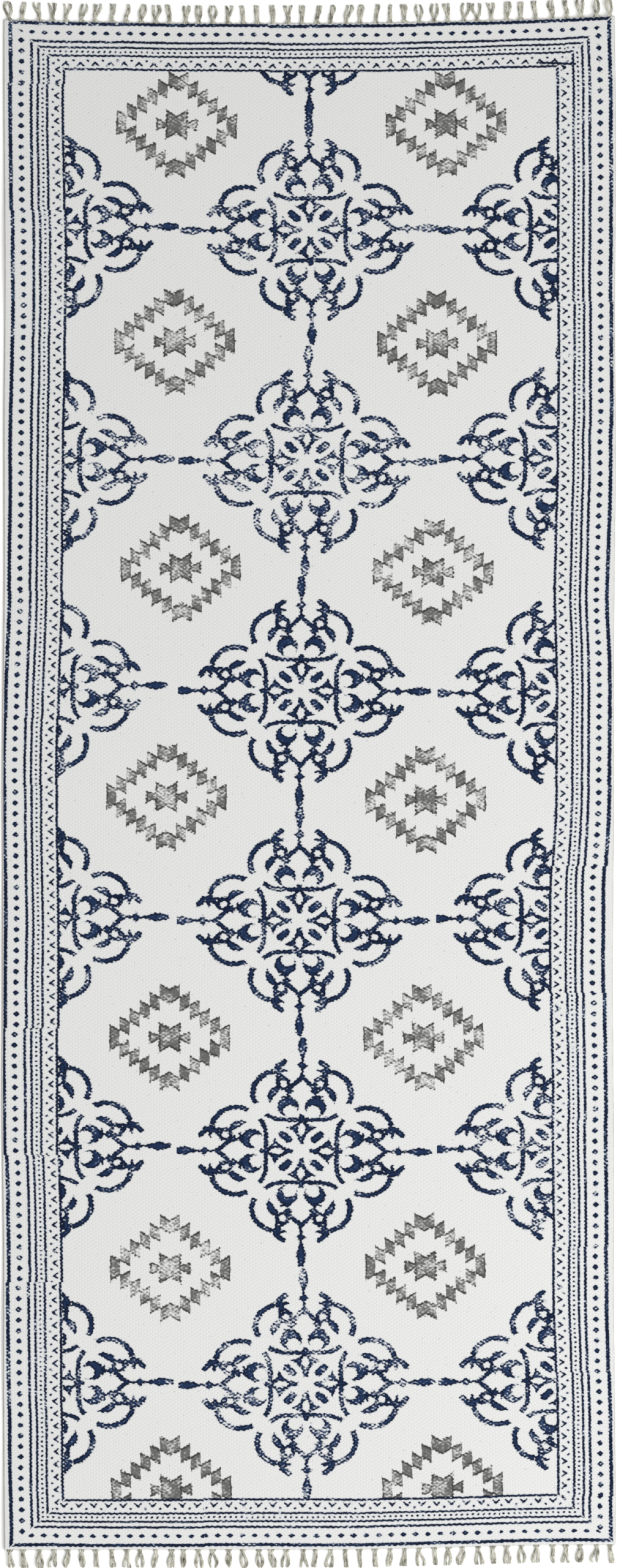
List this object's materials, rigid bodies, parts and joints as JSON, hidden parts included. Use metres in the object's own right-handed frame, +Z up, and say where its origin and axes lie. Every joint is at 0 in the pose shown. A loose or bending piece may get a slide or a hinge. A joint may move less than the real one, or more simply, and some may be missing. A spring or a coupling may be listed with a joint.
{
  "type": "runner rug",
  "caption": "Long narrow flat-woven cotton floor runner, block-printed with medallions inside a border, with corded selvedges and short tied tassels along both ends.",
  "frame": {"origin": "on the floor, under the middle of the runner", "axes": "+Y along the runner's length, +X across its width, +Z up out of the printed face"},
  "size_m": [0.61, 1.561, 0.003],
  "materials": {
    "printed_cotton": "matt plain-woven cotton, cool off-white, block-printed in indigo and grey",
    "selvedge_cotton": "matt off-white cotton cord wrapped by the turning weft",
    "heading_cotton": "matt off-white twined cotton cord",
    "tassel_cotton": "matt unbleached cotton yarn, twisted and loosely tied"
  },
  "bodies": {
    "root": {"woven_cloth": "printed_cotton", "selvedge_cord_left": "selvedge_cotton", "selvedge_cord_right": "selvedge_cotton", "heading_cord_head": "heading_cotton", "heading_cord_foot": "heading_cotton", "tassel_pair_head_01": "tassel_cotton", "tassel_pair_head_02": "tassel_cotton", "tassel_pair_head_03": "tassel_cotton", "tassel_pair_head_04": "tassel_cotton", "tassel_pair_head_05": "tassel_cotton", "tassel_pair_head_06": "tassel_cotton", "tassel_pair_head_07": "tassel_cotton", "tassel_pair_head_08": "tassel_cotton", "tassel_pair_head_09": "tassel_cotton", "tassel_pair_head_10": "tassel_cotton", "tassel_pair_head_11": "tassel_cotton", "tassel_pair_head_12": "tassel_cotton", "tassel_pair_head_13": "tassel_cotton", "tassel_pair_head_14": "tassel_cotton", "tassel_pair_head_15": "tassel_cotton", "tassel_pair_head_16": "tassel_cotton", "tassel_pair_head_17": "tassel_cotton", "tassel_pair_head_18": "tassel_cotton", "tassel_pair_head_19": "tassel_cotton", "tassel_pair_head_20": "tassel_cotton", "tassel_pair_head_21": "tassel_cotton", "tassel_pair_foot_01": "tassel_cotton", "tassel_pair_foot_02": "tassel_cotton", "tassel_pair_foot_03": "tassel_cotton", "tassel_pair_foot_04": "tassel_cotton", "tassel_pair_foot_05": "tassel_cotton", "tassel_pair_foot_06": "tassel_cotton", "tassel_pair_foot_07": "tassel_cotton", "tassel_pair_foot_08": "tassel_cotton", "tassel_pair_foot_09": "tassel_cotton", "tassel_pair_foot_10": "tassel_cotton", "tassel_pair_foot_11": "tassel_cotton", "tassel_pair_foot_12": "tassel_cotton", "tassel_pair_foot_13": "tassel_cotton", "tassel_pair_foot_14": "tassel_cotton", "tassel_pair_foot_15": "tassel_cotton", "tassel_pair_foot_16": "tassel_cotton", "tassel_pair_foot_17": "tassel_cotton", "tassel_pair_foot_18": "tassel_cotton", "tassel_pair_foot_19": "tassel_cotton", "tassel_pair_foot_20": "tassel_cotton", "tassel_pair_foot_21": "tassel_cotton"}
  },
  "joints": []
}
